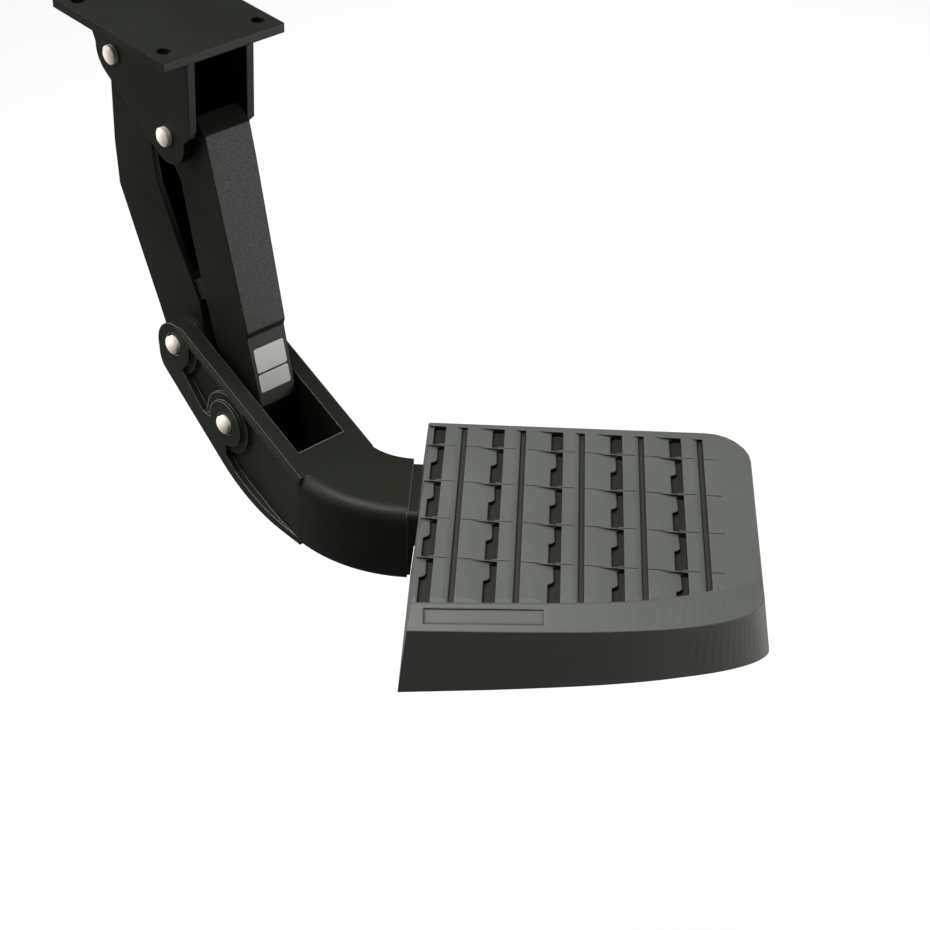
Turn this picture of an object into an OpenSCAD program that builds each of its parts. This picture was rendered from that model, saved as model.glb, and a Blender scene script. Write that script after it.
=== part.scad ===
// Retractable truck bed step.
// A folded steel bracket bolts up under the vehicle. Two cast arms of equal length hang from it and
// carry a cast step arm between them, so the moulded step pad stays level while it swings inboard.
// X points outboard along the swing, Y along the pivot pins, Z up.
// The origin is the centre of the bolt pattern on the bracket's top face.

/* [Linkage] */
// Height of the rear arm's upper pivot below the bracket's top face
pivot_drop = 41; // [38:1:50]
// Distance of the rear arm's upper pivot inboard of the origin
pivot_back = 34; // [28:1:38]
// Outboard distance between the two pivots at either end of the arms
pin_step_x = 69; // [66:1:76]
// Height between the two pivots at either end of the arms
pin_step_z = 45; // [40:1:48]
// Distance between the two pivots of one arm
arm_len = 250; // [235:5:280]
// Lean of the arms from vertical with the step swung out, degrees
arm_lean = 17; // [14:0.5:19]

/* [Arms] */
// Width of both arms at their upper ends
arm_w_top = 44; // [42:1:47]
// Width of both arms at their lower ends
arm_w_low = 37; // [33:1:40]
// Wall of the cast arms
arm_wall = 5; // [4:0.5:6]
// Radius of the rear arm's upper hub
rear_hub_r = 26; // [24:0.5:28]
// Radius of the rear arm's lower hub
rear_eye_r = 21; // [18:0.5:22]
// Radius of the front arm's upper hub
front_hub_r = 23; // [20:0.5:24]
// Radius of the front arm's lower hub
front_eye_r = 19; // [17:0.5:20]
// Depth of the step at the bottom of the front arm's face
nose_step = 3; // [2:0.5:4]
// Length of the set-back nose below that step
nose_len = 75; // [65:1:85]

/* [Pivots] */
// Shaft diameter of the pivot pins
pin_d = 13; // [11:0.5:14]
// Diameter of the domed pin heads
pin_head_d = 16; // [15:0.5:18]
// Height of the domed pin heads
pin_head_h = 7; // [5:0.5:8]
// Wall of the plain bushes
bush_wall = 2; // [1.5:0.25:2.5]
// Thickness of the bush flanges
bush_flange = 1.5; // [1:0.25:2]
// Radial running clearance of pins in bushes
pin_clear = 0.05; // [0.03:0.01:0.09]
// Radial clearance of the last pin of the closed linkage
free_clear = 0.25; // [0.2:0.05:0.4]
// Gap between a bush flange and the cheek it runs against
side_gap = 0.2; // [0.1:0.05:0.4]

/* [Step arm] */
// Width of the fork across its two rails
fork_w = 79; // [77:1:84]
// Width of the pocket between the rails
pocket_w = 48; // [46:1:50]
// Radius of the upper corner of the fork's end
fork_nose_r = 26; // [24:0.5:27]
// Radius of the lower corner of the fork's end
fork_heel_r = 19; // [16:0.5:20]
// Slope of the fork's upper face, degrees
fork_slope = 22; // [20:0.5:24]
// Slope of the fork's lower face, degrees
fork_rake = 36; // [34:0.5:37]
// Height of the arm where it turns towards the pad
neck_h = 69; // [66:1:73]
// Outboard distance from the front arm's lower pivot to the crease
crease_x = 100; // [96:1:106]
// Radius of the curve along the arm's underside
keel_r = 137; // [120:1:150]
// Diameter of the shallow seats around the lower pins
seat_d = 21; // [20:0.5:23]
// Depth of the recesses in the fork's sides
recess_depth = 6; // [3:0.5:7]
// Radius of the bosses around the lower pins
boss_r = 21; // [19:0.5:22]
// Width of the edge left below the side recesses
low_edge = 11; // [9:0.5:13]
// Width of the edge left above the side recesses
top_edge = 6; // [4:0.5:8]
// Wall of the hollow under the turn
neck_wall = 9; // [7:0.5:12]
// Radius of the inside of the turn
turn_r = 50; // [44:1:60]
// Angle between the swing plane and the pad, degrees
turn_angle = 45; // [40:1:50]
// Radius of the soft edge on the outside of the turn
soft_r = 12; // [8:1:16]
// Thickness of the pocket floor
floor_t = 10; // [8:0.5:12]
// Thickness of the tongue under the pad
tongue_t = 12; // [9:0.5:14]
// Length of the tongue inside the pad
tongue_len = 190; // [160:5:200]

/* [Step pad] */
// Length of the pad along its near wall
pad_w = 271; // [260:1:290]
// Depth of the pad from the near wall to the far wall
pad_d = 259; // [250:1:270]
// Height of the skirt at the arm's end
skirt_h = 72; // [68:1:74]
// Rise of the skirt's lower edge over the pad's length
skirt_rise = 16; // [10:1:20]
// Width of the sloped shoulder at the arm's end
shoulder_w = 22; // [20:1:25]
// How far the shoulder's upper line turns in at the outer end
shoulder_turn = 35; // [28:1:40]
// Drop of the sloped shoulder
shoulder_drop = 9; // [7:0.5:11]
// Wall of the moulded pad
pad_wall = 3.5; // [3:0.25:4.5]
// Thickness of the deck
deck_t = 8; // [7:0.25:9]
// Spacing of the tread pattern along the pad
tread_pitch = 49.4; // [47:0.2:50]
// Spacing of the tread pattern across the pad
row_pitch = 49; // [47:0.2:50]
// Depth of the tread pockets
tread_depth = 5; // [4:0.25:5.5]
// Width of the tread pockets
tread_pocket_w = 9.8; // [8.5:0.1:11]
// Depth of the narrow grooves of the tread
groove_depth = 3; // [2:0.25:3.5]
// Width of the narrow grooves of the tread
thin_groove_w = 4.6; // [3.5:0.1:5]
// Slope of the scales beside the pockets, degrees
scale_slope = 7; // [5:0.5:10]
// Wall of the ribs under the deck
rib_t = 2.5; // [2:0.25:3.5]
// Height of the ribs under the deck
rib_h = 24; // [16:1:30]

/* [Bracket] */
// Length of the top plate
plate_x = 150; // [144:1:170]
// Width of the top plate
plate_y = 116; // [112:1:130]
// Thickness of the top plate
plate_t = 8; // [6:0.5:9]
// Thickness of the two cheeks
cheek_t = 7; // [6:0.5:8]
// Hole spacing along the top plate
hole_x = 116; // [110:1:124]
// Hole spacing across the top plate
hole_y = 90; // [88:1:96]
// Diameter of the four frame holes
hole_d = 11; // [9:0.5:13]

/* [Over-centre spring] */
// Distance of the fixed spring post from the rear arm's upper pivot
post_a = 26; // [24:1:27]
// Distance of the moving spring post from the rear arm's upper pivot
post_b = 62; // [58:1:66]
// Swing of the step from out to stowed, degrees
swing = 70; // [60:1:70]
// Diameter of the spring posts
post_d = 8; // [7:0.5:9]
// Diameter of the spring wire
wire_d = 3.2; // [2.5:0.1:3.6]
// Outer diameter of the spring coil
coil_d = 18; // [15:0.5:20]
// Turns of the spring coil
coil_turns = 14; // [10:1:15]

/* [Hidden] */
$fn = 64;
eps = 0.01;
far = 400;

// Pivots as [x, z] in the swing plane
upper_rear = [-pivot_back, -pivot_drop];
upper_front = upper_rear + [pin_step_x, -pin_step_z];
down = [sin(arm_lean), -cos(arm_lean)];
ahead = [cos(arm_lean), sin(arm_lean)];
lower_rear = upper_rear + arm_len * down;
lower_front = upper_front + arm_len * down;

// Fork outline: the rounded end lies between the upper and the lower face
fork_up = [sin(fork_slope), cos(fork_slope)];
fork_down = [-sin(fork_rake), -cos(fork_rake)];
fork_nose = lower_rear + [3, -6];
fork_heel = lower_rear + [-3, -17];
fork_top_start = fork_nose + fork_nose_r * fork_up;
fork_low_start = fork_heel + fork_heel_r * fork_down;
crease = [lower_front[0] + crease_x,
    fork_top_start[1] - (lower_front[0] + crease_x - fork_top_start[0]) * tan(fork_slope)];
neck_top = crease[1];
neck_low = neck_top - neck_h;
keel_x = fork_low_start[0] + (fork_low_start[1] - neck_low) / tan(fork_rake);
keel_run = keel_r * tan(fork_rake / 2);
pocket_end = crease[0] - 20;
rail_in = pocket_w / 2;
rail_out = fork_w / 2;
seat_depth = 1.2;
boss_foot = 7;
turn_lap = 0.4;

// Turn of the step arm and the place of the pad
turn_mid_y = rail_out + turn_r;
deck_above_neck = 5;
collar_len = 3.2;
wall_gap = 0.3;
skirt_flare = 6;
pad_from_turn_x = collar_len + wall_gap + skirt_flare;
arm_from_deck_edge = 113.4;
pad_z = neck_top + deck_above_neck;

// Pad outline: slope and roundness of the near edge, and the far corner
near_slope = 0.066;
near_round = 38;
near_inner_slope = 0.075;
far_corner_r = 36;
far_skew = 7;
near_edge = -22;
far_edge = near_edge + pad_d + 6;
outline_step = 3;
deck_edge = 2.5;
outer_flare = 10;
flare_angle = atan(skirt_flare / (skirt_h - deck_edge));

// Pins, bushes and hubs
pin_r = pin_d / 2;
bush_r = pin_r + pin_clear;
hub_bore_r = bush_r + bush_wall;
free_bush_r = pin_r + free_clear;
press_gap = 0.02;
flange_r = hub_bore_r + 3;
clip_groove = 1.2;
clip_t = 1.1;
pin_tail = 4;
cheek_in = arm_w_top / 2 + 3;
cheek_out = cheek_in + cheek_t;
upper_hub_w = 2 * (cheek_in - side_gap - bush_flange);
lower_hub_w = 2 * (rail_in - side_gap - bush_flange);
post_r = post_d / 2;

// Spring: both posts, and the coil between them
wire_r = wire_d / 2;
coil_r = coil_d / 2 - wire_r;
dead_angle = 232;
post_fixed = upper_rear + post_a * [cos(dead_angle - 180), sin(dead_angle - 180)];
post_moving = upper_rear + post_b * [cos(dead_angle + swing / 2), sin(dead_angle + swing / 2)];
spring_y = cheek_out + pin_tail + 1 + coil_d / 2;
post_span = norm(post_moving - post_fixed);
spring_turn = atan2(post_moving[1] - post_fixed[1], post_moving[0] - post_fixed[0]);
eye_r = post_r + 0.3 + wire_r;
arm_post_y = arm_w_top / 2 + 1;
post_socket = 14;

// Edges and pockets of the arms, as [ahead, down] from the upper pivot
rear_back = [[-24, 10], [-49, 0.32 * arm_len], [-59, 0.476 * arm_len], [-50.5, 0.732 * arm_len],
    [-41, arm_len], [-36, arm_len + 12], [-24, arm_len + 18], [-8, arm_len + 20]];
rear_front = [[20, arm_len - 6], [22.5, arm_len - 36], [11.5, 0.652 * arm_len], [3, 0.444 * arm_len],
    [8, 0.32 * arm_len], [24, 10]];
front_back = [[-22, 6], [-10, 42], [-14.5, 0.38 * arm_len], [-16.5, 0.592 * arm_len], [-19, arm_len - 6]];
face_lean = 0.0375;
face_top = 40.7;
pocket_top = 34;
rear_pocket_low = arm_len - 58;
front_pockets = [[pocket_top, 0.512 * arm_len], [0.624 * arm_len, 0.848 * arm_len]];
back_wall = 8;

// Seat of the deploy stop, down along the rear arm, on the solid part below its pocket
stop_seat = 0.82 * arm_len;
stop_len = 16;

// Folded lip at the back of the bracket, which carries the stow stop
lip_t = 6;
lip_h = 18;
lip_flange = 14;
stop_gap = 0.3;

// Tread: where the columns and rows start, and the parts of one tile along the pad
tread_x0 = 5.6;
tread_y0 = 7.2;
tread_cols = 5;
tread_rows = 5;
tread_end = 236;
tile_gap = 1.5;
bump_len = 27;
bump_step = 4.8;
bar_flat = 18.8;
bar_low = 1.2;
groove_x = 23.4;
scale_near = 9;
scale_far = 16;
gutter_w = 2;
gutter_z = -1.35;
bevel_w = 6.5;

// Bare panel let into the shoulder near the arm
panel = [91, 13, 0.6];
panel_mid = [57, -6, -4.3];
panel_tilt = 22;

// Pad fasteners under the deck, along and across the pad
bolt_d = 8;
bolt_head_h = 5.5;
bolt_head_d = 15;
washer_d = 18;
washer_t = 1.6;
bolt_x = [45, tongue_len - 40];
bolt_y_half = 22;
tongue_top = -14;
tongue_w = 72;

// Extrudes a swing plane outline w wide, centred on the swing plane
module across(w) {
    rotate([90, 0, 0])
        translate([0, 0, -w / 2])
            linear_extrude(w)
                children();
}

// Moves a shape to a pivot in the swing plane
module at(p, y = 0) {
    translate([p[0], y, p[1]])
        children();
}

// Arm frame: x ahead of the line through the pivots, z up along it
module arm_frame(p) {
    at(p)
        rotate([0, -arm_lean, 0])
            children();
}

// A round bar along Y
module bar_y(r, y0, y1) {
    translate([0, y0, 0])
        rotate([-90, 0, 0])
            cylinder(r = r, h = y1 - y0);
}

// Frame of the turn: origin on its axis, at the height of the neck's top
module turn_frame() {
    translate([crease[0], turn_mid_y, neck_top])
        children();
}

// Pad frame: x along the near wall, y away from it, z up from the deck
module pad_frame() {
    turn_frame()
        rotate([0, 0, turn_angle])
            translate([pad_from_turn_x, -turn_r - fork_w - arm_from_deck_edge, deck_above_neck])
                children();
}

// Tapering width of both arms, from the upper to the lower pivot, less an inset
module arm_taper(inset = 0) {
    top = arm_w_top / 2 - inset;
    low = arm_w_low / 2 - inset;
    rotate([90, 0, 90])
        translate([0, 0, -far / 2])
            linear_extrude(far)
                polygon([[-top, 40], [top, 40], [top, -30], [low, -arm_len + 20],
                    [low, -arm_len - 40], [-low, -arm_len - 40], [-low, -arm_len + 20], [-top, -30]]);
}

// Side outline of the rear arm
module rear_outline() {
    circle(rear_hub_r);
    translate([0, -arm_len])
        circle(rear_eye_r);
    polygon(hung(concat(rear_back, rear_front)));
}

// Turns [ahead, down] points into arm frame points
function hung(rows) = [for (r = rows) [r[0], -r[1]]];

// Where the front arm's face lies ahead of its pivots, u down from the upper one
function face_at(u) = face_top - face_lean * u;

// Side outline of the front arm
module front_outline() {
    circle(front_hub_r);
    translate([0, -arm_len])
        circle(front_eye_r);
    polygon(hung(concat(front_back, [[10, arm_len + 16], [27, arm_len - 10],
        [face_at(arm_len - 17), arm_len - 17], [face_at(0), 0], [30, -15], [8, 2 - front_hub_r]])));
}

module rear_arm() {
    color("#2b2d2a") {
        difference() {
            at(post_moving)
                bar_y(post_r + 5, 6, arm_post_y);
            at(post_moving)
                bar_y(post_r + press_gap, arm_post_y - post_socket, far);
        }
        arm_frame(upper_rear)
            difference() {
                union() {
                    intersection() {
                        across(far)
                            rear_outline();
                        arm_taper();
                    }
                    bar_y(rear_hub_r - 4, -upper_hub_w / 2, upper_hub_w / 2);
                    translate([0, 0, -arm_len])
                        bar_y(rear_eye_r - 2, -lower_hub_w / 2, lower_hub_w / 2);
                }
                intersection() {
                    across(far)
                        polygon([[-32.5 + back_wall, -pocket_top], [rear_back[1][0] + back_wall, -rear_back[1][1]],
                            [rear_back[2][0] + back_wall, -rear_back[2][1]],
                            [rear_back[3][0] + back_wall + 1, -rear_pocket_low],
                            [far, -rear_pocket_low], [far, -pocket_top]]);
                    arm_taper(arm_wall);
                }
                bar_y(hub_bore_r, -far, far);
                translate([0, 0, -arm_len])
                    bar_y(hub_bore_r, -far, far);
                rotate([0, arm_lean, 0])
                    at(post_moving - upper_rear)
                        bar_y(post_r + press_gap, arm_post_y - post_socket, far);
            }
    }
}

module front_arm() {
    color("#3c413c")
        arm_frame(upper_front)
            difference() {
                union() {
                    intersection() {
                        across(far)
                            front_outline();
                        arm_taper();
                    }
                    bar_y(front_hub_r - 3, -upper_hub_w / 2, upper_hub_w / 2);
                    translate([0, 0, -arm_len])
                        bar_y(front_eye_r - 1, -lower_hub_w / 2, lower_hub_w / 2);
                }
                for (span = front_pockets)
                    intersection() {
                        across(far)
                            polygon([[-far, -span[0]], [face_at(span[0]) - nose_step - arm_wall, -span[0]],
                                [face_at(span[1]) - nose_step - arm_wall, -span[1]], [-far, -span[1]]]);
                        arm_taper(arm_wall);
                    }
                nose_cut();
                bar_y(hub_bore_r, -far, far);
                translate([0, 0, -arm_len])
                    bar_y(hub_bore_r, -far, far);
            }
}

// Step below the front arm's face, where the nose is set back
module nose_cut() {
    top = arm_len - nose_len;
    across(far)
        polygon(hung([[face_at(top) + 0.2, top - 5], [face_at(top) - nose_step, top],
            [face_at(arm_len) - nose_step, arm_len], [far, arm_len], [far, top - 5]]));
}

// Fork outline in the swing plane, from the rounded end to the start of the turn
module fork_outline() {
    translate(fork_nose)
        circle(fork_nose_r, $fn = 96);
    translate(fork_heel)
        circle(fork_heel_r, $fn = 96);
    polygon(concat([fork_heel - [fork_heel_r, 0], fork_nose - [fork_nose_r, 0], fork_nose, fork_top_start,
        crease, [crease[0], neck_low]],
        [for (a = [0:3:fork_rake])
            [keel_x + keel_run - keel_r * sin(a), neck_low + keel_r * (1 - cos(a))]],
        [[keel_x - keel_run * cos(fork_rake), neck_low + keel_run * sin(fork_rake)], fork_low_start,
            fork_heel]));
}

// Pocket between the rails: open at the top and at the rounded end
module pocket_outline() {
    flat = 14;
    mouth = fork_low_start[0] + 8;
    polygon([[mouth - far, neck_low - far], [mouth - far, neck_top + far], [pocket_end, neck_top + far],
        [pocket_end, neck_low + floor_t + flat],
        [keel_x + (floor_t / cos(fork_rake) - floor_t - flat) / tan(fork_rake), neck_low + floor_t + flat],
        [mouth, fork_low_z(mouth) + floor_t / cos(fork_rake)], [mouth, neck_low - far]]);
}

// Height of the fork's straight upper and lower faces
function fork_top_z(x) = fork_top_start[1] - (x - fork_top_start[0]) * tan(fork_slope);
function fork_low_z(x) = fork_low_start[1] - (x - fork_low_start[0]) * tan(fork_rake);

// Section of the neck, rounded more on the outside of the turn; x is the radius from its axis
module neck_section(r_in, r_out, z_low, z_top) {
    difference() {
        translate([r_in, z_low])
            square([r_out - r_in, z_top - z_low]);
        translate([r_out, z_top])
            corner(soft_r);
        translate([r_in, z_top])
            mirror([1, 0])
                corner(soft_r / 2);
        translate([r_out, z_low])
            mirror([0, 1])
                corner(soft_r / 2);
        translate([r_in, z_low])
            rotate(180)
                corner(soft_r / 2);
    }
}

// What is cut off the upper right corner of a section to round it
module corner(r) {
    difference() {
        translate([-r, -r])
            square(r + 1);
        translate([-r, -r])
            circle(r);
    }
}

module step_arm() {
    color("#262824")
        union() {
            difference() {
                across(fork_w)
                    fork_outline();
                across(pocket_w)
                    pocket_outline();
                fork_edges();
                for (far_side = [0, 1])
                    mirror([0, far_side, 0])
                        side_recesses();
                for (p = [lower_rear, lower_front])
                    at(p) {
                        bar_y(bush_r, -far, far);
                        bar_y(seat_d / 2, -far, -rail_out + seat_depth);
                        bar_y(seat_d / 2, rail_out - seat_depth, far);
                    }
            }
            turn_frame()
                difference() {
                    rotate([0, 0, -90 - turn_lap])
                        rotate_extrude(angle = turn_angle + 2 * turn_lap, $fn = 120)
                            neck_section(turn_r, turn_r + fork_w, -neck_h, 0);
                    neck_hollow();
                }
            pad_frame()
                step_tongue();
        }
}

// Hollow under the turn, in two bays with a web between them
module neck_hollow() {
    bay = (turn_angle - 12) / 2;
    for (start = [4, 8 + bay])
        rotate([0, 0, start - 90])
            rotate_extrude(angle = bay, $fn = 120)
                translate([turn_r + neck_wall, -far])
                    square([fork_w - 2 * neck_wall, far - neck_wall - 4]);
}

// Chamfers along the outer edges of the fork's upper face
module fork_edges() {
    chamfer = 2.3;
    for (side = [-1, 1])
        translate([crease[0], side * rail_out, neck_top])
            rotate([0, fork_slope, 0])
                rotate([45, 0, 0])
                    translate([-far / 2 + 2, 0, 0])
                        cube([far, chamfer * sqrt(2), chamfer * sqrt(2)], center = true);
}

// Recesses in the near side of the fork, around the bosses of both pins, which stand on a wider foot.
// Their floor rises to the surface where the fork meets the turn
module side_recesses() {
    run = 55;
    intersection() {
        translate([0, -rail_out, 0]) {
            recess(2 * recess_depth, boss_r + boss_foot);
            recess(recess_depth, boss_r);
        }
        translate([crease[0] - 3, -rail_out, neck_low - far / 2])
            rotate([0, 0, -atan(recess_depth / run)])
                translate([-far, -far, 0])
                    cube([2 * far, far, far]);
    }
}

// Recess over both fields, w wide, that leaves a boss of radius r around each pin
module recess(w, r) {
    across(w)
        difference() {
            recess_outline();
            for (p = [lower_rear, lower_front])
                translate(p)
                    circle(r);
        }
}

// Two fields: between the pins, and from the outer pin along the keel to the turn
module recess_outline() {
    edge = top_edge / cos(fork_slope);
    low = low_edge / cos(fork_rake);
    end = crease[0] - 3;
    bay_x = lower_rear[0] + 11;
    bay_end = lower_front[0] - 31;
    polygon([[bay_x, fork_top_z(bay_x) - edge], [bay_x, fork_low_z(bay_x) + 2 * low],
        [bay_end, fork_low_z(bay_end) + 1.6 * low], [lower_front[0], fork_low_z(bay_end) + 1.6 * low],
        [lower_front[0], fork_top_z(lower_front[0]) - edge]]);
    polygon(concat([[lower_front[0], fork_top_z(lower_front[0]) - edge], [lower_front[0], keel_line(lower_front[0]) + low]],
        [for (x = [lower_front[0] + 12:12:end - 8]) [x, keel_line(x) + low_edge * (1 - 0.45 * (x - lower_front[0]) / crease_x)]],
        [[end, keel_line(end) + low_edge * 0.55], [end, fork_top_z(end) - edge]]));
}

// Height of the fork's underside, straight at first and then along the keel curve
function keel_line(x) =
    x < keel_x - keel_run * cos(fork_rake) ? fork_low_z(x) :
    x < keel_x + keel_run ? neck_low + keel_r - sqrt(pow(keel_r, 2) - pow(keel_x + keel_run - x, 2)) : neck_low;

// Collar at the pad wall, then the flat tongue with two keel ribs under the deck
module step_tongue() {
    neck_mid = neck_mid_y();
    half = fork_w / 2 - 1.5;
    low = -deck_above_neck - neck_h;
    difference() {
        translate([-pad_from_turn_x - 0.5, 0, 0])
            rotate([90, 0, 90])
                linear_extrude(pad_from_turn_x + 0.5)
                    neck_section(neck_mid - half, neck_mid + half, low + 1.5, -deck_above_neck - 1.5);
        translate([-wall_gap, neck_mid, -deck_edge])
            rotate([0, flare_angle, 0])
                translate([0, -far / 2, -far / 2])
                    cube(far);
    }
    difference() {
        union() {
            translate([-pad_from_turn_x, neck_mid - tongue_w / 2, tongue_top - tongue_t])
                cube([tongue_len + pad_from_turn_x, tongue_w, tongue_t]);
            for (side = [-1, 0, 1])
                translate([-pad_from_turn_x, neck_mid + side * (tongue_w / 2 - 4) - 4,
                        tongue_top - tongue_t - 14])
                    cube([tongue_len + pad_from_turn_x - 20, 8, 15]);
        }
        bolt_places()
            translate([0, 0, tongue_top - tongue_t - 1])
                cylinder(d = bolt_d + 0.6, h = tongue_t + 2);
    }
}

// Middle of the tongue across the pad, in the pad frame
function neck_mid_y() = arm_from_deck_edge + fork_w / 2;

// Children at each pad bolt, in the pad frame
module bolt_places() {
    for (x = bolt_x, side = [-1, 1])
        translate([x, neck_mid_y() + side * bolt_y_half * 0.8, 0])
            children();
}

// The shoulder's upper line, where the deck begins
function inner_line(x) = near_edge + shoulder_w + near_inner_slope * x + shoulder_turn * pow(x / pad_w, 5);

// Top loop of the pad: the deck's edge, along the shoulder's upper line on the near side
function deck_loop(inset, z) = concat(
    [for (a = [0:outline_step:90])
        let (x = inset + (pad_w - 2 * inset) * sqrt(sin(a))) [x, inner_line(x), z]],
    [for (a = [0:15:90])
        let (r = far_corner_r - inset)
            [pad_w - far_corner_r + r * cos(a), far_edge - far_corner_r + r * sin(a), z]],
    [[inset, far_edge - far_skew - inset, z]]);

// One loop of the pad's outline. The near edge is flat at first and rounds off towards the outer end
function pad_loop(inset, near_in, slope, z_near, z_far, rise) = concat(
    [for (a = [0:outline_step:90])
        let (x = inset + (pad_w - 2 * inset) * sqrt(sin(a)))
            [x, near_edge + near_in + slope * x + near_round * (1 - cos(a)),
                z_near + (z_far - z_near) * pow(a / 90, 4) + rise * x / pad_w]],
    [for (a = [0:15:90])
        let (r = far_corner_r - inset)
            [pad_w - far_corner_r + r * cos(a), far_edge - far_corner_r + r * sin(a),
                z_far + rise * (pad_w - far_corner_r + r * cos(a)) / pad_w]],
    [[inset, far_edge - far_skew - inset, z_far + rise * inset / pad_w]]);

// Closed skin through a list of loops with equal counts, lowest loop first
module skin(loops) {
    n = len(loops[0]);
    m = len(loops);
    polyhedron(
        points = [for (l = loops) each l],
        faces = concat(
            [[for (i = [0:n - 1]) i]],
            [for (k = [0:m - 2], i = [0:n - 1])
                [k * n + i, (k + 1) * n + i, (k + 1) * n + (i + 1) % n, k * n + (i + 1) % n]],
            [[for (i = [n - 1:-1:0]) (m - 1) * n + i]]),
        convexity = 6);
}

// Outer body of the pad: skirt, sloped shoulder and deck
module pad_body() {
    skin([
        flare(pad_loop(0, 0, near_slope, -skirt_h, -skirt_h, skirt_rise)),
        pad_loop(0, 0, near_slope, -shoulder_drop, -deck_edge, 0),
        deck_loop(deck_edge, 0)]);
}

// Hollow of the pad under the deck
module pad_hollow() {
    skin([
        flare(pad_loop(pad_wall, pad_wall, near_slope, -skirt_h - 1, -skirt_h - 1, skirt_rise)),
        pad_loop(pad_wall, pad_wall, near_slope, -shoulder_drop - pad_wall, -deck_t - 1, 0),
        deck_loop(pad_wall + 2, -deck_t)]);
}

// Pulls both ends of a loop outwards, where the skirt flares
function flare(loop) = [for (p = loop)
    [p[0] - skirt_flare * max(0, 1 - p[0] / 40) + outer_flare * max(0, 1 - (pad_w - p[0]) / 60), p[1], p[2]]];

module step_pad() {
    color("#33352f")
        pad_frame() {
            difference() {
                pad_body();
                pad_hollow();
                tread();
                gutter();
                bare_panel();
                wall_opening();
            }
            difference() {
                intersection() {
                    pad_hollow();
                    union() {
                        deck_ribs();
                        bolt_bosses();
                    }
                }
                tongue_room();
                bolt_places()
                    translate([0, 0, tongue_top - 1])
                        cylinder(d = bolt_d + 0.1, h = -tongue_top - deck_t + 1);
            }
        }
}

// Ribs under the deck, along and across the pad
module deck_ribs() {
    for (k = [0:4])
        translate([22 + k * tread_pitch, near_edge, -deck_t - rib_h])
            cube([rib_t, far_edge - near_edge, rib_h + 1]);
    for (k = [0:3])
        translate([0, 22 + k * 58, -deck_t - rib_h])
            cube([pad_w, rib_t, rib_h + 1]);
}

module bolt_bosses() {
    bolt_places()
        translate([0, 0, tongue_top])
            cylinder(r = 10, h = -tongue_top - deck_t + 1);
}

// Room for the tongue between the ribs
module tongue_room() {
    gap = 0.5;
    translate([-20, neck_mid_y() - tongue_w / 2 - gap, -skirt_h])
        cube([tongue_len + 20 + gap, tongue_w + 2 * gap, skirt_h + tongue_top]);
}

// Opening in the arm's end of the skirt, where the tongue goes in
module wall_opening() {
    gap = 0.5;
    translate([-20, neck_mid_y() - tongue_w / 2 - gap, -skirt_h - 2])
        cube([30, tongue_w + 2 * gap, skirt_h + 2 + tongue_top + gap]);
}

// What is cut out of the deck for the tread, kept within the deck's edges
module tread() {
    translate([0, 0, -tread_depth])
        linear_extrude(far)
            intersection() {
                tread_area();
                union() {
                    each_tile()
                        tile_pocket();
                    for (k = [0:tread_cols - 1])
                        translate([tread_x0 + k * tread_pitch, 0])
                            square([tread_pocket_w, tread_y0 + 2 * tile_gap]);
                }
            }
    translate([0, 0, -groove_depth])
        linear_extrude(far)
            intersection() {
                tread_area();
                for (k = [0:tread_cols - 1])
                    translate([tread_x0 + k * tread_pitch + groove_x, 0])
                        square([thin_groove_w, pad_d]);
            }
    translate([0, 0, -0.5])
        linear_extrude(far)
            intersection() {
                tread_area();
                for (j = [1:tread_rows - 1])
                    translate([0, tread_y0 + j * row_pitch - 0.5])
                        square([pad_w, 1]);
            }
    intersection() {
        translate([0, 0, -tread_depth])
            linear_extrude(far)
                tread_area();
        union() {
            each_tile()
                tile_scale();
            for (k = [0:tread_cols - 1])
                translate([tread_x0 + k * tread_pitch, pad_d, 0])
                    rotate([90, 0, 0])
                        linear_extrude(pad_d)
                            polygon([[bar_flat - 2, 1], [bar_flat, 0], [groove_x, -bar_low],
                                [groove_x + 1, -bar_low], [groove_x + 1, 1]]);
        }
    }
}

// Area of the tread: inside the gutter, up to the far edge and the smooth outer end
module tread_area() {
    polygon(concat([for (x = [1.5:(tread_end - 1.5) / 16:tread_end]) [x, inner_line(x) + gutter_w + 0.5]],
        [[tread_end + 8, inner_line(tread_end) + 30], [tread_end + 8, far_edge - 12], [1.5, far_edge - 14]]));
}

// Children at the near left corner of each tile of the tread
module each_tile() {
    for (k = [0:tread_cols - 1], j = [0:tread_rows - 1])
        translate([tread_x0 + k * tread_pitch, tread_y0 + j * row_pitch])
            children();
}

// Pocket of one tile: straight on its right, with a rounded bump on its left towards the far end
module tile_pocket() {
    polygon([[0, tile_gap], [tread_pocket_w, tile_gap], [tread_pocket_w, row_pitch - tile_gap],
        [bump_step - 0.6, row_pitch - tile_gap], [bump_step, bump_len + 4], [bump_step * 0.85, bump_len + 1.5],
        [bump_step * 0.45, bump_len - 0.5], [0, bump_len - 1.5]]);
}

// Scale left of a pocket: a wedge that slopes down from a diagonal line to the pocket
module tile_scale() {
    fall = cos(atan((scale_far - scale_near) / row_pitch)) * tan(scale_slope);
    lift = 1;
    reach = bump_step + 0.5;
    function cut(y) = let (x = -scale_near - (scale_far - scale_near) * y / row_pitch)
        [[x - lift / fall, y, lift], [reach, y, lift], [reach, y, -(reach - x) * fall]];
    skin([for (y = [0.5, row_pitch - 0.5]) cut(y)]);
}

// Gutter between the shoulder and the tread, with a bevel up to the ends of the bars
module gutter() {
    lift = 1;
    function cut(x) = let (y = inner_line(x), z = gutter_z * min(1, (tread_end + 30 - x) / 100))
        [[x, y - 0.1, lift], [x, y + 0.4, z], [x, y + gutter_w, z], [x, y + bevel_w, 0], [x, y + bevel_w + 3, lift]];
    skin([for (x = [1.5:(tread_end - 1.5) / 24:tread_end]) cut(x)]);
}

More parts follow.
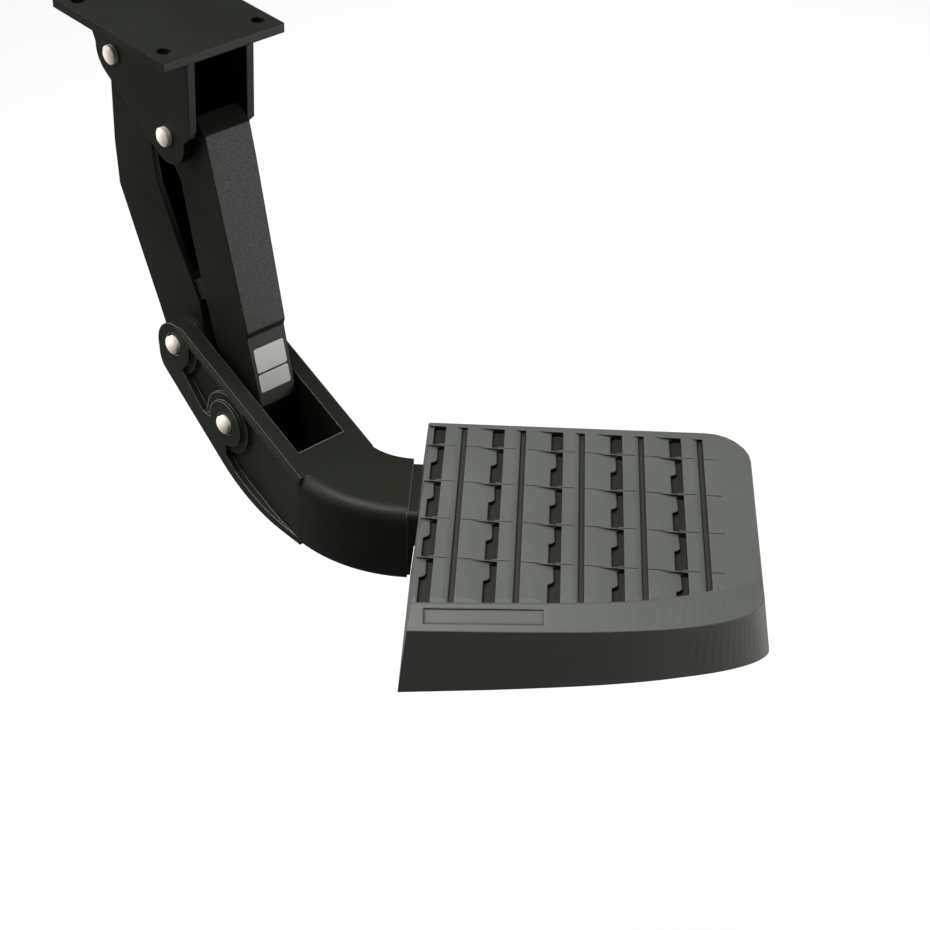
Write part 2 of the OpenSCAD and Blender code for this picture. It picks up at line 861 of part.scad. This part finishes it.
// Plain panel let into the shoulder
module bare_panel() {
    translate(panel_mid)
        rotate([panel_tilt, 0, 4])
            translate([0, 0, panel[2] / 2])
                cube([panel[0], panel[1], 3 * panel[2]], center = true);
}

// Outline of a bracket cheek in the swing plane
module cheek_outline() {
    eye = 24;
    for (p = [upper_rear, upper_front])
        translate(p)
            circle(eye);
    polygon([[-plate_x / 2 + 6, -plate_t], [plate_x / 2 - 6, -plate_t],
        [plate_x / 2 - 8, upper_front[1] + 10], upper_front + [eye, 2],
        upper_front + eye * [-0.55, -0.835], upper_rear + eye * [-0.55, -0.835],
        upper_rear + [-eye, 2], [-plate_x / 2 + 6, -plate_t - 8]]);
}

module mounting_bracket() {
    color("#30322f")
        difference() {
            union() {
                translate([-plate_x / 2, -plate_y / 2, -plate_t])
                    cube([plate_x, plate_y, plate_t]);
                for (side = [-1, 1])
                    translate([0, side * (cheek_in + cheek_t / 2), 0])
                        across(cheek_t)
                            cheek_outline();
                translate([-plate_x / 2, -cheek_out, -plate_t - lip_h])
                    cube([lip_t, 2 * cheek_out, lip_h + 1]);
                translate([-plate_x / 2, -cheek_out, -plate_t - lip_h])
                    cube([lip_flange, 2 * cheek_out, lip_t - 1]);
            }
            at(post_fixed)
                bar_y(post_r + press_gap, 0, far);
            for (x = [-1, 1], y = [-1, 1])
                translate([x * hole_x / 2, y * hole_y / 2, -plate_t - 1])
                    cylinder(d = hole_d, h = plate_t + 2);
            for (p = [upper_rear, upper_front])
                at(p)
                    bar_y(bush_r, -far, far);
        }
}

// Pivot pin: domed head on the near side, shaft, and a ring groove at the far end
module pivot_pin(p, grip) {
    color("#d8d3c4")
        at(p)
            difference() {
                union() {
                    bar_y(pin_r, -grip - 1, grip + pin_tail);
                    translate([0, -grip - 0.05, 0])
                        rotate([90, 0, 0])
                            pin_head();
                }
                translate([0, grip + 0.3, 0])
                    rotate([-90, 0, 0])
                        difference() {
                            cylinder(r = pin_r + 1, h = clip_groove);
                            translate([0, 0, -1])
                                cylinder(r = pin_r - 1, h = clip_groove + 2);
                        }
            }
}

// Domed head: a short rim with a spherical crown
module pin_head() {
    r = pin_head_d / 2;
    crown = 3;
    rim = pin_head_h - crown;
    ball = (r * r + crown * crown) / (2 * crown);
    cylinder(r = r, h = rim);
    translate([0, 0, rim])
        intersection() {
            cylinder(r = r, h = crown + 1);
            translate([0, 0, crown - ball])
                sphere(ball);
        }
}

// Retaining ring in the groove of a pin: a ring with a gap
module pin_clip(p, grip) {
    at(p, grip + 0.35)
        rotate([-90, 0, 0])
            difference() {
                cylinder(r = pin_r + 2.5, h = clip_t);
                translate([0, 0, -1])
                    cylinder(r = pin_r - 0.9, h = clip_t + 2);
                translate([0, -2, -1])
                    cube([20, 4, clip_t + 2]);
            }
}

// A pair of flanged bushes in one hub, hub_w wide
module bush_pair(p, hub_w, bore_r) {
    color("#b8a26a")
        at(p)
            for (side = [0, 1])
                mirror([0, side, 0])
                    difference() {
                        union() {
                            bar_y(hub_bore_r - press_gap, hub_w / 2 - 15, hub_w / 2);
                            bar_y(flange_r, hub_w / 2, hub_w / 2 + bush_flange);
                        }
                        bar_y(bore_r, 0, far);
                    }
}

// Rubber block on the rear arm that the front arm's back edge meets with the step swung out
module deploy_stop() {
    color("#171817")
        arm_frame(upper_rear)
            difference() {
                translate([rear_front[3][0], -arm_w_low / 2 + 2, -stop_seat - stop_len / 2])
                    cube([pin_step_x, arm_w_low - 4, stop_len]);
                across(far)
                    rear_outline();
                stop_face();
            }
}

// Space kept in front of the deploy stop: the front arm at rest, with a small gap
module stop_face() {
    offset_ahead = pin_step_x * ahead[0] - pin_step_z * ahead[1];
    offset_up = -(pin_step_x * down[0] - pin_step_z * down[1]);
    translate([offset_ahead - stop_gap, 0, offset_up])
        across(far)
            polygon(hung(concat(front_back, [[far, arm_len - 6], [far, 6]])));
}

// Rubber block on the bracket's lip that the rear arm's back meets when the step is stowed
module stow_stop() {
    tall = 12;
    color("#171817")
        difference() {
            translate([-plate_x / 2 + 1, -15, -plate_t - lip_h - tall])
                cube([lip_flange - 2, 30, tall]);
            at(upper_rear)
                translate([0, 0, stop_gap])
                    rotate([0, swing - arm_lean, 0])
                        across(far)
                            rear_outline();
            at(upper_rear)
                translate([0, 0, stop_gap])
                    rotate([0, swing - arm_lean, 0])
                        translate([-40, -far / 2, -far])
                            cube([far, far, far - 60]);
        }
}

// Headed post that a spring eye hangs on
module spring_post(p, y0) {
    color("#9a9d9a")
        difference() {
            at(p) {
                bar_y(post_r, y0, spring_y + wire_r + 4);
            }
            at(p, spring_y + wire_r + 0.8)
                rotate([-90, 0, 0])
                    difference() {
                        cylinder(r = post_r + 1, h = clip_groove);
                        translate([0, 0, -1])
                            cylinder(r = post_r - 0.8, h = clip_groove + 2);
                    }
        }
}

// Ring that keeps a spring eye on its post
module spring_post_clip(p) {
    color("#8a8d8a")
        at(p, spring_y + wire_r + 0.85)
            rotate([-90, 0, 0])
                difference() {
                    cylinder(r = post_r + 2.4, h = clip_t);
                    translate([0, 0, -1])
                        cylinder(r = post_r - 0.7, h = clip_t + 2);
                    translate([0, -1.5, -1])
                        cube([20, 3, clip_t + 2]);
                }
}

// Extension spring between the posts: a wound coil with an eye at either end
module over_centre_spring() {
    body_len = coil_turns * (wire_d + 0.15);
    start = (post_span - body_len) / 2;
    color("#5d6062")
        at(post_fixed, spring_y)
            rotate([0, -spring_turn, 0]) {
                rotate([90, 0, 0])
                    rotate_extrude($fn = 32)
                        translate([eye_r, 0])
                            circle(wire_r, $fn = 16);
                translate([post_span, 0, 0])
                    rotate([90, 0, 0])
                        rotate_extrude($fn = 32)
                            translate([eye_r, 0])
                                circle(wire_r, $fn = 16);
                translate([eye_r, 0, 0])
                    rotate([0, 90, 0])
                        cylinder(r = wire_r, h = start - eye_r + wire_r);
                translate([post_span - start - wire_r, 0, 0])
                    rotate([0, 90, 0])
                        cylinder(r = wire_r, h = start - eye_r + wire_r);
                for (x = [start, start + body_len])
                    translate([x, -wire_r, 0])
                        bar_y(wire_r, 0, coil_r + wire_r);
                translate([start, 0, 0])
                    coil(body_len);
            }
}

// Wire wound about the X axis: rings of points follow a helix
module coil(body_len) {
    sides = 8;
    per_turn = 16;
    rings = coil_turns * per_turn;
    function ring(i) = let (a = 360 * i / per_turn, x = body_len * i / rings)
        [for (s = [0:sides - 1])
            let (b = -360 * s / sides, r = coil_r + wire_r * cos(b))
                [x + wire_r * sin(b), r * cos(a), r * sin(a)]];
    polyhedron(
        points = [for (i = [0:rings]) each ring(i)],
        faces = concat(
            [[for (s = [0:sides - 1]) s]],
            [for (i = [0:rings - 1], s = [0:sides - 1])
                [i * sides + s, (i + 1) * sides + s, (i + 1) * sides + (s + 1) % sides,
                    i * sides + (s + 1) % sides]],
            [[for (s = [sides - 1:-1:0]) rings * sides + s]]),
        convexity = 10);
}

module pad_bolt() {
    z = tongue_top - tongue_t - washer_t;
    translate([0, 0, z - bolt_head_h])
        cylinder(d = bolt_head_d, h = bolt_head_h, $fn = 6);
    translate([0, 0, z])
        cylinder(d = bolt_d, h = washer_t + tongue_t - tongue_top - deck_t - 0.5);
}

module pad_washer() {
    translate([0, 0, tongue_top - tongue_t - washer_t])
        difference() {
            cylinder(d = washer_d, h = washer_t);
            translate([0, 0, -1])
                cylinder(d = bolt_d + 0.5, h = washer_t + 2);
        }
}

mounting_bracket();
rear_arm();
front_arm();
step_arm();
step_pad();
pivot_pin(upper_rear, cheek_out);  // upper_rear_pin
pivot_pin(upper_front, cheek_out);  // upper_front_pin
pivot_pin(lower_rear, rail_out - seat_depth);  // lower_rear_pin
pivot_pin(lower_front, rail_out - seat_depth);  // lower_front_pin
union() {  // upper_pin_clips
    color("#6d6f70") pin_clip(upper_rear, cheek_out);
    color("#6d6f70") pin_clip(upper_front, cheek_out);
}
union() {  // lower_pin_clips
    color("#6d6f70") pin_clip(lower_rear, rail_out - seat_depth);
    color("#6d6f70") pin_clip(lower_front, rail_out - seat_depth);
}
bush_pair(upper_rear, upper_hub_w, bush_r);  // rear_arm_upper_bushes
bush_pair(upper_front, upper_hub_w, bush_r);  // front_arm_upper_bushes
bush_pair(lower_rear, lower_hub_w, bush_r);  // rear_arm_lower_bushes
bush_pair(lower_front, lower_hub_w, free_bush_r);  // front_arm_lower_bushes
deploy_stop();
stow_stop();
spring_post(post_fixed, cheek_in);  // bracket_spring_post
spring_post(post_moving, arm_post_y - post_socket);  // arm_spring_post
spring_post_clip(post_fixed);  // bracket_post_clip
spring_post_clip(post_moving);  // arm_post_clip
over_centre_spring();
color("#8c8f90") pad_frame() bolt_places() pad_bolt();  // pad_bolts
color("#a5a7a8") pad_frame() bolt_places() pad_washer();  // pad_washers
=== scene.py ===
import math

import bpy
import numpy as np
from mathutils import Matrix, Vector


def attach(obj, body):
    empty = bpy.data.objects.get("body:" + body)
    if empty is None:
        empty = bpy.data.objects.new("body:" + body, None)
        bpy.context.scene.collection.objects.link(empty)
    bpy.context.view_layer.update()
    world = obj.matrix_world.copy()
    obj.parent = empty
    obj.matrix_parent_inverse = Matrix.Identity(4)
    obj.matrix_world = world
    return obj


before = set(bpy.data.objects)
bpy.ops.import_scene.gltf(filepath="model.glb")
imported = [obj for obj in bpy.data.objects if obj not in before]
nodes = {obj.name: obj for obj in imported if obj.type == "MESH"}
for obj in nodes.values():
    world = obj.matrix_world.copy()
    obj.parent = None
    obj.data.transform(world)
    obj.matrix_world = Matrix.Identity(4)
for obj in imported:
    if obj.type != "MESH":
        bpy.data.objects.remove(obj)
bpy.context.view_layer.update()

scene = bpy.context.scene

# Point of view.
# The step is seen from outboard and above, a little turned clockwise in the frame, as a
# long lens sees it from about 1.4 m. Sizes are metres in the part's own frame.
VIEW_FROM = Vector((1.2731, -0.8674, 0.7081))
VIEW_BACK = Vector((0.5783, -0.5508, 0.6018)).normalized()
VIEW_ROLL = math.radians(2.4)
FOCAL_PIXELS = 2076
FRAME_PIXELS = 930

level = Vector((-VIEW_BACK.y, VIEW_BACK.x, 0)).normalized()
upright = VIEW_BACK.cross(level)
right = level * math.cos(VIEW_ROLL) + upright * math.sin(VIEW_ROLL)
up = upright * math.cos(VIEW_ROLL) - level * math.sin(VIEW_ROLL)
camera = bpy.data.objects.new("view_camera", bpy.data.cameras.new("view_camera"))
camera.data.sensor_width = 36
camera.data.sensor_fit = "HORIZONTAL"
camera.data.lens = FOCAL_PIXELS / FRAME_PIXELS * camera.data.sensor_width
camera.data.clip_start = 0.05
camera.data.clip_end = 60
turned = Matrix((right, up, VIEW_BACK)).transposed().to_4x4()
camera.matrix_world = Matrix.Translation(VIEW_FROM) @ turned
scene.collection.objects.link(camera)
scene.camera = camera

# Mounting bracket.
# A folded steel plate with two cheeks, bolted up under the vehicle. It is blasted and
# powder coated black, which leaves a satin skin with a fine orange peel.


def linear(code):
    """sRGB hex to linear RGBA: the inverse of the display curve, channel by channel."""
    c = np.array([int(code[i:i + 2], 16) for i in (1, 3, 5)]) / 255
    low = c / 12.92
    high = ((c + 0.055) / 1.055) ** 2.4
    return (*np.where(c <= 0.04045, low, high), 1.0)


def add(tree, kind, links=None, **settings):
    """Adds one node to a tree; settings are its properties, links its sockets by name."""
    node = tree.nodes.new(kind)
    for name, value in settings.items():
        setattr(node, name, value)
    for name, value in (links or {}).items():
        if isinstance(value, bpy.types.NodeSocket):
            tree.links.new(value, node.inputs[name])
        else:
            node.inputs[name].default_value = value
    return node


def finish(name, base, roughness, metallic=0.0, specular=0.5):
    """A new material: its tree, its shader with plain sockets set, and object coordinates."""
    material = bpy.data.materials.new(name)
    material.use_nodes = True
    tree = material.node_tree
    shader = tree.nodes["Principled BSDF"]
    shader.inputs["Base Color"].default_value = linear(base)
    shader.inputs["Roughness"].default_value = roughness
    shader.inputs["Metallic"].default_value = metallic
    shader.inputs["Specular IOR Level"].default_value = specular
    place = add(tree, "ShaderNodeTexCoord").outputs["Object"]
    return material, tree, shader, place


def soft_edge(tree, radius):
    """A rounded edge of that radius in the shading, as a coat or a mould leaves it."""
    return add(tree, "ShaderNodeBevel", {"Radius": radius}, samples=6).outputs["Normal"]


def coated(name, base, light, grain, peel, roughness, edge, specular=0.5):
    """A coat or a grained moulding: fine grit, slow drifts of colour, and a rounded edge.

    grain is the grit's size and peel its height, both in metres."""
    material, tree, shader, place = finish(name, base, roughness, specular=specular)
    drift = add(tree, "ShaderNodeTexNoise", {"Vector": place, "Scale": 14.0, "Detail": 4.0})
    ramp = add(tree, "ShaderNodeValToRGB", {"Fac": drift.outputs["Fac"]})
    ramp.color_ramp.elements[0].position = 0.3
    ramp.color_ramp.elements[0].color = linear(base)
    ramp.color_ramp.elements[1].position = 0.75
    ramp.color_ramp.elements[1].color = linear(light)
    tree.links.new(ramp.outputs["Color"], shader.inputs["Base Color"])
    grit = add(tree, "ShaderNodeTexNoise",
               {"Vector": place, "Scale": 1 / grain, "Detail": 3.0, "Roughness": 0.6})
    gloss = add(tree, "ShaderNodeMapRange",
                {"Value": grit.outputs["Fac"], "From Min": 0.3, "From Max": 0.7,
                 "To Min": roughness - 0.06, "To Max": roughness + 0.08})
    tree.links.new(gloss.outputs["Result"], shader.inputs["Roughness"])
    bump = add(tree, "ShaderNodeBump",
               {"Height": grit.outputs["Fac"], "Strength": 0.35, "Distance": peel,
                "Normal": soft_edge(tree, edge)})
    tree.links.new(bump.outputs["Normal"], shader.inputs["Normal"])
    return material


def blended(tree, share, low, high):
    """A colour that goes from low to high as share goes from 0 to 1."""
    mix = add(tree, "ShaderNodeMix", {0: share, 6: low, 7: high}, data_type="RGBA")
    return mix.outputs[2]


def dress(material, *names):
    """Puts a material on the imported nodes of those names."""
    for name in names:
        for place in nodes[name].material_slots:
            place.material = material


dress(coated("powder_coated_steel", "#161813", "#1e201a", 0.0011, 0.00025, 0.46, 0.0015, 0.2),
      "mounting_bracket")

# Rear and front arm.
# Two sand-cast aluminium channels of equal length, shot blasted and powder coated black.
# The coat is coarser than on the bracket and slightly olive in the light.
dress(coated("powder_coated_casting", "#10120c", "#181b13", 0.0013, 0.0004, 0.48, 0.0018, 0.2),
      "rear_arm", "front_arm")

# Plain plates on the nose of the front arm.
# Two small bare plates of satin anodised aluminium, one above the other on the set-back
# nose. Each row has a plate's name, its top's way down the arm from the pivot, its height.
PLATE_THICK = 0.0004
PLATE_HALF_WIDTH = 0.0155
PLATE_CORNER = 0.002
PLATES = (("nose_plate_upper", 0.1862, 0.0218),
          ("nose_plate_lower", 0.2094, 0.0162))
FACE_AHEAD = 0.0377
FACE_LEAN = math.atan(0.0375)
FRONT_PIVOT = Vector((0.035, 0, -0.086))
ARM_LEAN = math.radians(17)
DOWN = Vector((math.sin(ARM_LEAN), 0, -math.cos(ARM_LEAN)))
AHEAD = Vector((math.cos(ARM_LEAN), 0, math.sin(ARM_LEAN)))


def rounded_plate(name, half_w, half_h, corner, thick, corner_steps=8):
    """A flat plate with rounded corners, drawn in XY and thick along Z."""
    turn = np.linspace(0, math.pi / 2, corner_steps)
    arcs = [(half_w - corner, half_h - corner, 0), (corner - half_w, half_h - corner, 1),
            (corner - half_w, corner - half_h, 2), (half_w - corner, corner - half_h, 3)]
    outline = np.concatenate([np.stack([x + corner * np.cos(turn + q * math.pi / 2),
                                        y + corner * np.sin(turn + q * math.pi / 2)], 1)
                              for x, y, q in arcs])
    count = len(outline)
    points = np.concatenate([np.column_stack([outline, np.full(count, z)]) for z in (0, thick)])
    ring = np.arange(count)
    after = np.roll(ring, -1)
    faces = [ring[::-1].tolist(), (ring + count).tolist()]
    faces += np.stack([ring, after, after + count, ring + count], 1).tolist()
    mesh = bpy.data.meshes.new(name)
    mesh.from_pydata(points.tolist(), [], faces)
    piece = bpy.data.objects.new(name, mesh)
    scene.collection.objects.link(piece)
    return piece


def brushed(name, base, roughness, streak, along=(1, 1, 30), metallic=1.0):
    """Bare or plated metal with fine streaks along one axis of the part."""
    material, tree, shader, place = finish(name, base, roughness, metallic=metallic)
    stretched = add(tree, "ShaderNodeMapping", {"Vector": place, "Scale": along})
    streaks = add(tree, "ShaderNodeTexNoise",
                  {"Vector": stretched.outputs["Vector"], "Scale": 1 / streak, "Detail": 4.0})
    gloss = add(tree, "ShaderNodeMapRange",
                {"Value": streaks.outputs["Fac"], "To Min": roughness - 0.1,
                 "To Max": roughness + 0.12})
    tree.links.new(gloss.outputs["Result"], shader.inputs["Roughness"])
    bump = add(tree, "ShaderNodeBump",
               {"Height": streaks.outputs["Fac"], "Strength": 0.2, "Distance": 0.0001,
                "Normal": soft_edge(tree, 0.0006)})
    tree.links.new(bump.outputs["Normal"], shader.inputs["Normal"])
    return material


anodised = brushed("satin_anodised_aluminium", "#868783", 0.45, 0.002, metallic=0.5)
face_up = -DOWN * math.cos(FACE_LEAN) + AHEAD * math.sin(FACE_LEAN)
face_out = AHEAD * math.cos(FACE_LEAN) + DOWN * math.sin(FACE_LEAN)
for name, top, tall in PLATES:
    plate = rounded_plate(name, PLATE_HALF_WIDTH, tall / 2, PLATE_CORNER, PLATE_THICK)
    drop = top + tall / 2
    middle = FRONT_PIVOT + DOWN * drop + AHEAD * (FACE_AHEAD - drop * math.tan(FACE_LEAN))
    stand = Matrix((Vector((0, 1, 0)), face_up, face_out)).transposed().to_4x4()
    plate.data.transform(Matrix.Translation(middle) @ stand)
    plate.data.materials.append(anodised)
    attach(plate, "front_arm")

# Pivot pins, clips and bushes.
# Cold-headed steel pins with domed heads, zinc plated to a pale warm grey, held by rings
# of spring steel. They turn in plain flanged bushes of sintered bronze.
dress(brushed("zinc_plated_pin", "#f4efdf", 0.45, 0.004, (1, 1, 1), 0.1),
      "upper_rear_pin", "upper_front_pin", "lower_rear_pin", "lower_front_pin",
      "bracket_spring_post", "arm_spring_post")
dress(brushed("oiled_spring_steel", "#6f7273", 0.35, 0.003),
      "upper_pin_clips", "lower_pin_clips", "bracket_post_clip", "arm_post_clip")
dress(brushed("sintered_bronze", "#a98c52", 0.5, 0.001, (1, 1, 1)),
      "rear_arm_upper_bushes", "front_arm_upper_bushes", "rear_arm_lower_bushes",
      "front_arm_lower_bushes")

# Over-centre spring.
# An extension spring of oil-tempered wire that hangs on the two posts at the far side.
# The wire is dark with a slight sheen.
dress(brushed("oil_tempered_wire", "#55585a", 0.4, 0.003), "over_centre_spring")

# Rubber stops.
# Two moulded rubber blocks that the arms meet at either end of the swing. Rubber is
# nearly matte and darker than the coat beside it.
dress(coated("moulded_rubber", "#141514", "#1c1d1c", 0.0008, 0.0002, 0.75, 0.001, 0.3),
      "deploy_stop", "stow_stop")

# Step arm.
# The fork that holds both lower pins, the thick turning neck and the tongue under the
# pad are one aluminium casting, powder coated with the same coarse black as the arms.
# Along the casting's edges the coat colour is painted paler, a painted highlight of the lamps'
# gleam on the rounded edges.
PAINTED_HIGHLIGHT_EDGE = 0.0013
casting = coated("powder_coated_fork", "#161812", "#1e2119", 0.0013, 0.0004, 0.46, 0.0016, 0.2)
dress(casting, "step_arm")
tree = casting.node_tree
shader = tree.nodes["Principled BSDF"]
# Painted highlight: where the bevel normal turns away from the face, at every edge, the base
# colour is mixed towards a pale grey.
turned_by = add(tree, "ShaderNodeVectorMath",
                {0: soft_edge(tree, PAINTED_HIGHLIGHT_EDGE),
                 1: add(tree, "ShaderNodeNewGeometry").outputs["Normal"]},
                operation="DOT_PRODUCT")
painted_highlight = add(tree, "ShaderNodeMapRange",
          {"Value": turned_by.outputs["Value"], "From Min": 0.97, "From Max": 0.84})
coat = shader.inputs["Base Color"].links[0].from_socket
coat = blended(tree, painted_highlight.outputs["Result"], coat, linear("#787a71"))
tree.links.new(coat, shader.inputs["Base Color"])

# Step pad.
# One moulding of glass-filled nylon, dark grey with a spark-eroded satin grain. The pockets,
# grooves and corners are painted darker as shade, from ambient occlusion and from height below
# TREAD_TOP_Z.
TREAD_TOP_Z = -0.3222
TREAD_FLOOR_Z = -0.3238
nylon = coated("moulded_nylon", "#52554f", "#5a5d57", 0.0007, 0.00022, 0.48, 0.002, 0.5)
dress(nylon, "step_pad")
tree = nylon.node_tree
shader = tree.nodes["Principled BSDF"]
# Painted shade: where ambient occlusion is low, and in the pockets below TREAD_TOP_Z, the grey is
# mixed towards a near black.
open_sky = add(tree, "ShaderNodeAmbientOcclusion", {"Distance": 0.02}, samples=8, only_local=True)
open_by_ao = add(tree, "ShaderNodeMapRange",
             {"Value": open_sky.outputs["AO"], "From Min": 0.66, "From Max": 0.93})
height = add(tree, "ShaderNodeSeparateXYZ",
             {"Vector": add(tree, "ShaderNodeTexCoord").outputs["Object"]})
above = add(tree, "ShaderNodeMapRange",
            {"Value": height.outputs["Z"], "From Min": TREAD_FLOOR_Z, "From Max": TREAD_TOP_Z})
outside = add(tree, "ShaderNodeMapRange",
              {"Value": open_sky.outputs["AO"], "From Min": 0.93, "From Max": 0.97})
outside_painted_shade = add(tree, "ShaderNodeMath", {0: above.outputs["Result"], 1: outside.outputs["Result"]},
           operation="MAXIMUM")
outside_painted_shade = add(tree, "ShaderNodeMath", {0: outside_painted_shade.outputs[0], 1: open_by_ao.outputs["Result"]},
           operation="MINIMUM")
grey = shader.inputs["Base Color"].links[0].from_socket
grey = blended(tree, outside_painted_shade.outputs[0], linear("#1b1d19"), grey)
tree.links.new(grey, shader.inputs["Base Color"])

# Pad bolts and washers.
# Four zinc-plated hexagon bolts come up through the tongue into bosses under the deck.
# The plating is bright grey, with fine turning marks.
dress(brushed("zinc_plated_bolt", "#a9acad", 0.32, 0.002, (1, 1, 1)),
      "pad_bolts", "pad_washers")

# Studio.
# A plain floor well below the step, a large soft light overhead, a strong low one from
# outboard, and weak fills at the near and far side. The camera sees floor and world as
# white, and the object sees them much darker.
FLOOR_Z = -0.9
FLOOR_HALF = 9.0
FLOOR_GLOW = 1.03
SEEN_GLOW_SHARE = 0.8
MIRRORED_GLOW_SHARE = 0.07
WORLD_LIGHT = 0.09

floor_mesh = bpy.data.meshes.new("studio_floor")
floor_mesh.from_pydata([(x * FLOOR_HALF, y * FLOOR_HALF, FLOOR_Z)
                        for x, y in ((-1, -1), (1, -1), (1, 1), (-1, 1))], [], [(0, 1, 2, 3)])
floor = bpy.data.objects.new("studio_floor", floor_mesh)
scene.collection.objects.link(floor)
white, tree, shader, _ = finish("white_floor", "#606060", 0.9, specular=0.1)
glow = add(tree, "ShaderNodeEmission", {"Color": (1, 1, 1, 1), "Strength": FLOOR_GLOW})
rays = add(tree, "ShaderNodeLightPath")
seen = add(tree, "ShaderNodeMath", {0: rays.outputs["Is Camera Ray"],
                                    1: rays.outputs["Is Transmission Ray"]}, operation="MAXIMUM")
paint = blended(tree, seen.outputs[0], linear("#606060"), linear("#e8e8e8"))
tree.links.new(paint, shader.inputs["Base Color"])
seen = add(tree, "ShaderNodeMath", {0: seen.outputs[0], 1: SEEN_GLOW_SHARE},
           operation="MULTIPLY")
mirrored = add(tree, "ShaderNodeMath", {0: rays.outputs["Is Glossy Ray"], 1: MIRRORED_GLOW_SHARE},
               operation="MULTIPLY")
share = add(tree, "ShaderNodeMath", {0: seen.outputs[0], 1: mirrored.outputs[0]},
            operation="MAXIMUM")
lit = add(tree, "ShaderNodeMixShader", {0: share.outputs[0], 1: shader.outputs[0],
                                        2: glow.outputs[0]})
tree.links.new(lit.outputs[0], tree.nodes["Material Output"].inputs["Surface"])
floor_mesh.materials.append(white)


def softbox(name, at, towards, size, power, mirrored=True):
    """A soft area light of that size, aimed at a point. Unmirrored ones cast no highlight."""
    lamp = bpy.data.lights.new(name, "AREA")
    lamp.shape = "RECTANGLE"
    lamp.size, lamp.size_y = size
    lamp.energy = power
    holder = bpy.data.objects.new(name, lamp)
    aim = (Vector(at) - Vector(towards)).to_track_quat("Z", "Y")
    holder.matrix_world = Matrix.Translation(at) @ aim.to_matrix().to_4x4()
    holder.visible_camera = False
    holder.visible_glossy = mirrored
    scene.collection.objects.link(holder)


MIDDLE = (0.3, 0.05, -0.3)
FORK_MIDDLE = (0.1, 0, -0.3)
NOSE = (0.1, 0, -0.28)
NEAR_PINS = (0.07, -0.04, -0.32)
softbox("overhead_light", (-0.3, -0.45, 2.05), MIDDLE, (1.4, 1.4), 76)
softbox("outboard_light", (2.15, 1.75, -0.4), NOSE, (1.3, 0.9), 60)
softbox("edge_light", (-0.95, -1.1, 0.7), FORK_MIDDLE, (0.5, 0.5), 8)
softbox("side_fill", (-0.6, -0.5, -0.2), NEAR_PINS, (0.5, 0.5), 7, mirrored=False)
softbox("back_fill", (-0.7, 2.0, 0.6), MIDDLE, (1.2, 1.2), 30, mirrored=False)

world = bpy.data.worlds.new("studio_world")
world.use_nodes = True
scene.world = world
air = world.node_tree
sky = air.nodes["Background"]
sky.inputs["Color"].default_value = (1, 1, 1, 1)
sight = add(air, "ShaderNodeLightPath")
strength = add(air, "ShaderNodeMath", {0: sight.outputs["Is Camera Ray"], 1: WORLD_LIGHT},
               operation="MAXIMUM")
air.links.new(strength.outputs[0], sky.inputs["Strength"])

scene.view_settings.view_transform = "Standard"
